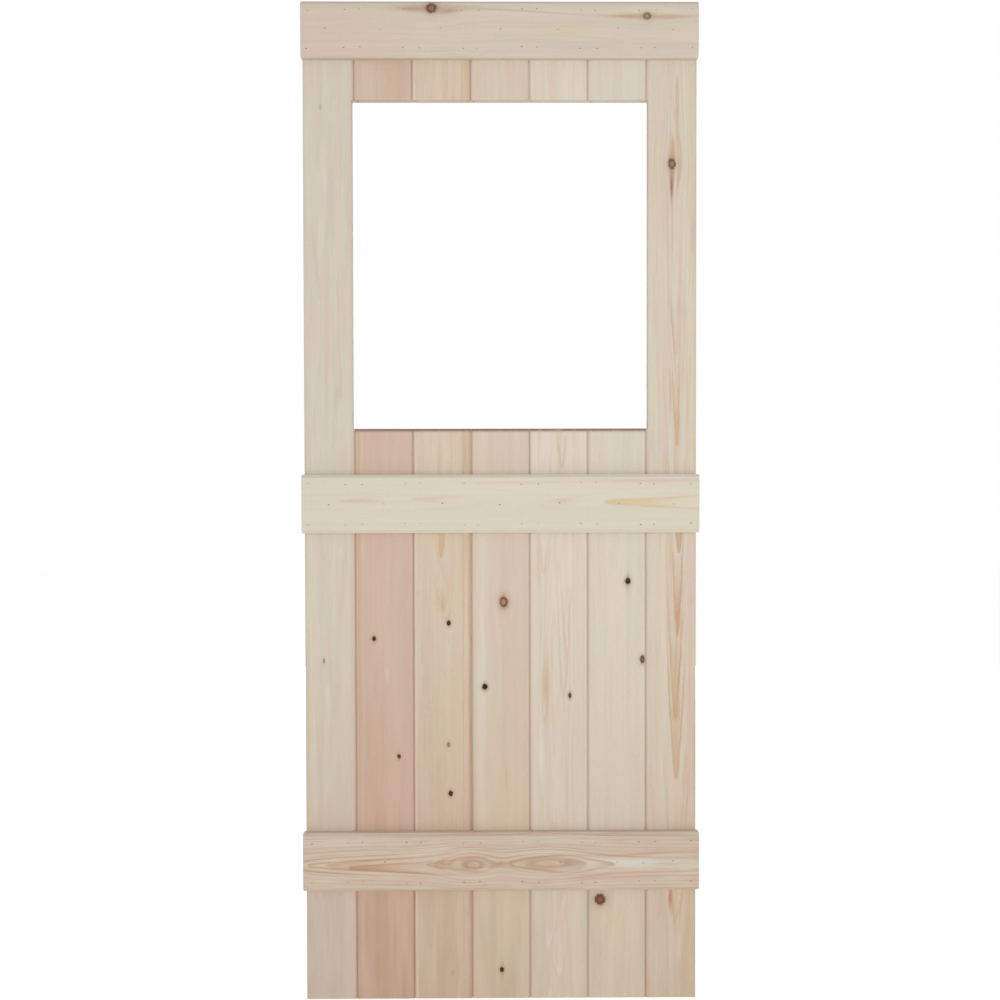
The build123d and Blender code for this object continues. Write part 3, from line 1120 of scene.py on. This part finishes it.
def softened(node):
    """Copy of a ledge with its arrises rubbed down and its wood crushed in round each punched nail."""
    low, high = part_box(node)
    shape = bmesh.new()
    shape.from_mesh(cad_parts[node].data)
    bmesh.ops.remove_doubles(shape, verts=shape.verts, dist=MERGE)
    bmesh.ops.dissolve_limit(shape, angle_limit=FLAT, verts=shape.verts, edges=shape.edges)
    rims = [
        edge for edge in sharp_edges(shape) if edge.calc_length() < POCKET_SIDE and lies_at(edge, 1, low.y)
    ]
    for face in bevelled(shape, rims, settings().crush):
        face.material_index = 1
    arrises = [
        edge for edge in sharp_edges(shape)
        if edge.calc_length() > LONG_EDGE or lies_at(edge, 0, low.x) or lies_at(edge, 0, high.x)
    ]
    bevelled(shape, arrises, settings().arris)
    mesh = bpy.data.meshes.new(f"{node}_planed")
    shape.to_mesh(mesh)
    shape.free()
    return mesh


# Noise cells to a metre: from nail to nail, along a crushed fibre, and over a nail's own face
BRUISE_SCALE = 24.0
FIBRE_SCALE = 400.0
SPECKLE_SCALE = 900.0

# Soft edges between fainter and plainer nails, for the crushed wood and the steel
BRUISE_EDGE = (0.42, 0.6)
TARNISH_EDGE = (0.4, 0.62)

# Shares of the nail and of its speckles in a nail's tarnish
TARNISH = 0.7
SPECKLE = 0.3

# Least and most roughness of crushed wood and of steel, and how metallic the steel is
BRUISE_ROUGH = (0.65, 0.85)
STEEL_ROUGH = (0.4, 0.7)
METALLIC = 0.35


def bruise():
    """Wood crushed and greyed round a nail, more on some nails than on others."""
    material, tree, slots = new_material("nail_bruise")
    point = coordinates(tree, "Object")
    share = cloud(point, BRUISE_SCALE).rise(*BRUISE_EDGE)
    colour = mixed(tree, share, linear(settings().fresh_bruise), linear(settings().old_bruise))
    feed(slots["Base Color"], colour)
    feed(slots["Roughness"], cloud(point, FIBRE_SCALE).between(*BRUISE_ROUGH))
    slots["Specular IOR Level"].default_value = WOOD_GLOSS
    return material


class LEAF_OT_ledges(Operator):
    """Puts softened ledges in place of the plain ones, with their wood's grain running across the leaf"""

    bl_idname = "leaf.ledges"
    bl_label = "Ledges"

    def execute(self, context):
        crushed = bruise()
        for number, node in enumerate(LEDGES):
            low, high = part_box(node)
            length = (high.x - low.x) * MM
            seed = number * LEDGE_SEED + FIRST_LEDGE_SEED
            piece = bpy.data.objects.new(f"{node}_planed", softened(node))
            piece.data.materials.append(wood(node, False, low.y, low.x * MM, length, [], seed))
            piece.data.materials.append(crushed)
            context.scene.collection.objects.link(piece)
            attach(piece, "root")
            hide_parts(node)
        return {"FINISHED"}


def steel():
    """Dull flat-wire nails."""
    material, tree, slots = new_material("nail_steel")
    point = coordinates(tree, "Object")
    speckle = cloud(point, SPECKLE_SCALE)
    share = (cloud(point, BRUISE_SCALE).rise(*TARNISH_EDGE) * TARNISH + speckle * SPECKLE).clamped()
    feed(slots["Base Color"], mixed(tree, share, linear(settings().steel), linear(settings().tarnish)))
    feed(slots["Roughness"], speckle.between(*STEEL_ROUGH))
    slots["Metallic"].default_value = METALLIC
    return material


class LEAF_OT_nails(Operator):
    """Gives the nails their dull steel"""

    bl_idname = "leaf.nails"
    bl_label = "Nails"

    def execute(self, context):
        material = steel()
        for node in NAIL_GROUPS:
            give(node, material)
        return {"FINISHED"}


# Camera, in metres and degrees, with its lens in millimetres
EYE = Vector((-0.01903, -2.4, 1.05075))
PITCH = -1.177
YAW = -0.428
ROLL = 0.11
LENS = 43.37

# Floor's own light to the eye, which makes it white away from shadows
FLOOR_GLOW = 0.51

# Floor's radius in metres, the sides of its outline, its paint and roughness
FLOOR_RADIUS = 12.0
FLOOR_SIDES = 96
FLOOR_PAINT = (0.8, 0.8, 0.8, 1.0)
FLOOR_ROUGH = 0.9

# Lamps, in metres
LAMP_AWAY = 4.2
LAMP_HEIGHT = 1.25
LAMP_SIZE = 2.6

# Turn about X from looking straight down to looking level, in degrees
LEVEL = 90.0

WHITE = (1.0, 1.0, 1.0, 1.0)


def only_seen(tree):
    """1 for rays that show a surface to the camera, directly, in gloss or through glass."""
    path = put(tree, "ShaderNodeLightPath")
    rays = ("Camera", "Glossy", "Transmission")
    camera, glossy, passing = (Field(tree, path.outputs[f"Is {ray} Ray"]) for ray in rays)
    return camera.math("MAXIMUM", glossy).math("MAXIMUM", passing)


def floor_material():
    """Pale floor that shows white and keeps the soft shadow of what stands on it."""
    material, tree, slots = new_material("floor_paint")
    slots["Base Color"].default_value = FLOOR_PAINT
    slots["Roughness"].default_value = FLOOR_ROUGH
    slots["Specular IOR Level"].default_value = 0.0
    slots["Emission Color"].default_value = WHITE
    feed(slots["Emission Strength"], only_seen(tree).between(settings().bounce, FLOOR_GLOW))
    return material


def studio_world():
    """World that shows white and gives an even light from all around."""
    world = bpy.data.worlds.new("studio")
    world.use_nodes = True
    tree = world.node_tree
    slots = tree.nodes["Background"].inputs
    slots["Color"].default_value = WHITE
    feed(slots["Strength"], only_seen(tree).between(settings().sky, 1.0))
    bpy.context.scene.world = world


def add_lamp(name, y, tilt):
    """Soft square lamp that faces the leaf from the front or the back."""
    light = bpy.data.lights.new(name, "AREA")
    light.shape = "SQUARE"
    light.size = LAMP_SIZE
    light.energy = settings().lamp_power
    lamp = bpy.data.objects.new(name, light)
    turn = Matrix.Rotation(math.radians(tilt), 4, "X")
    lamp.matrix_world = Matrix.Translation((0.0, y, LAMP_HEIGHT)) @ turn
    bpy.context.scene.collection.objects.link(lamp)


class LEAF_OT_stage(Operator):
    """Adds the floor, the soft lamps in front and behind, the white surroundings and the camera"""

    bl_idname = "leaf.stage"
    bl_label = "Stage"

    def execute(self, context):
        scene = context.scene
        bpy.ops.mesh.primitive_circle_add(vertices=FLOOR_SIDES, radius=FLOOR_RADIUS, fill_type="NGON")
        floor = context.object
        floor.name = "floor"
        floor.data.materials.append(floor_material())
        add_lamp("front_lamp", -LAMP_AWAY, LEVEL)
        add_lamp("back_lamp", LAMP_AWAY, -LEVEL)
        studio_world()
        camera_data = bpy.data.cameras.new("camera")
        camera_data.lens = LENS
        camera = bpy.data.objects.new("camera", camera_data)
        turn = Matrix.Rotation(math.radians(YAW), 4, "Z")
        turn = turn @ Matrix.Rotation(math.radians(LEVEL + PITCH), 4, "X")
        turn = turn @ Matrix.Rotation(math.radians(-ROLL), 4, "Z")
        camera.matrix_world = Matrix.Translation(EYE) @ turn
        scene.collection.objects.link(camera)
        scene.camera = camera
        scene.view_settings.view_transform = "Standard"
        return {"FINISHED"}


# Settings that the panel shows: all but the planks' own looks
SHOWN = [label for label in LeafSettings.__annotations__ if label != "planks"]


class LEAF_PT_panel(Panel):
    """Steps that finish the leaf, in order"""

    bl_idname = "LEAF_PT_panel"
    bl_label = "Ledged leaf"
    bl_space_type = "VIEW_3D"
    bl_region_type = "UI"
    bl_category = "Ledged leaf"

    def draw(self, context):
        layout = self.layout
        for operator in OPERATORS:
            layout.operator(operator.bl_idname)
        for label in SHOWN:
            layout.prop(settings(), label)


OPERATORS = [LEAF_OT_stock_looks, LEAF_OT_boards, LEAF_OT_ledges, LEAF_OT_nails, LEAF_OT_stage]
CLASSES = [KnotLook, StainLook, FlameLook, PlankLook, LeafSettings, *OPERATORS, LEAF_PT_panel]


def register():
    for one in CLASSES:
        bpy.utils.register_class(one)
    bpy.types.Scene.ledged_leaf = PointerProperty(type=LeafSettings)


def unregister():
    del bpy.types.Scene.ledged_leaf
    for one in reversed(CLASSES):
        bpy.utils.unregister_class(one)


def main():
    register()
    bpy.ops.leaf.stock_looks()
    bpy.ops.leaf.boards()
    bpy.ops.leaf.ledges()
    bpy.ops.leaf.nails()
    bpy.ops.leaf.stage()


if __name__ == "__main__":
    main()
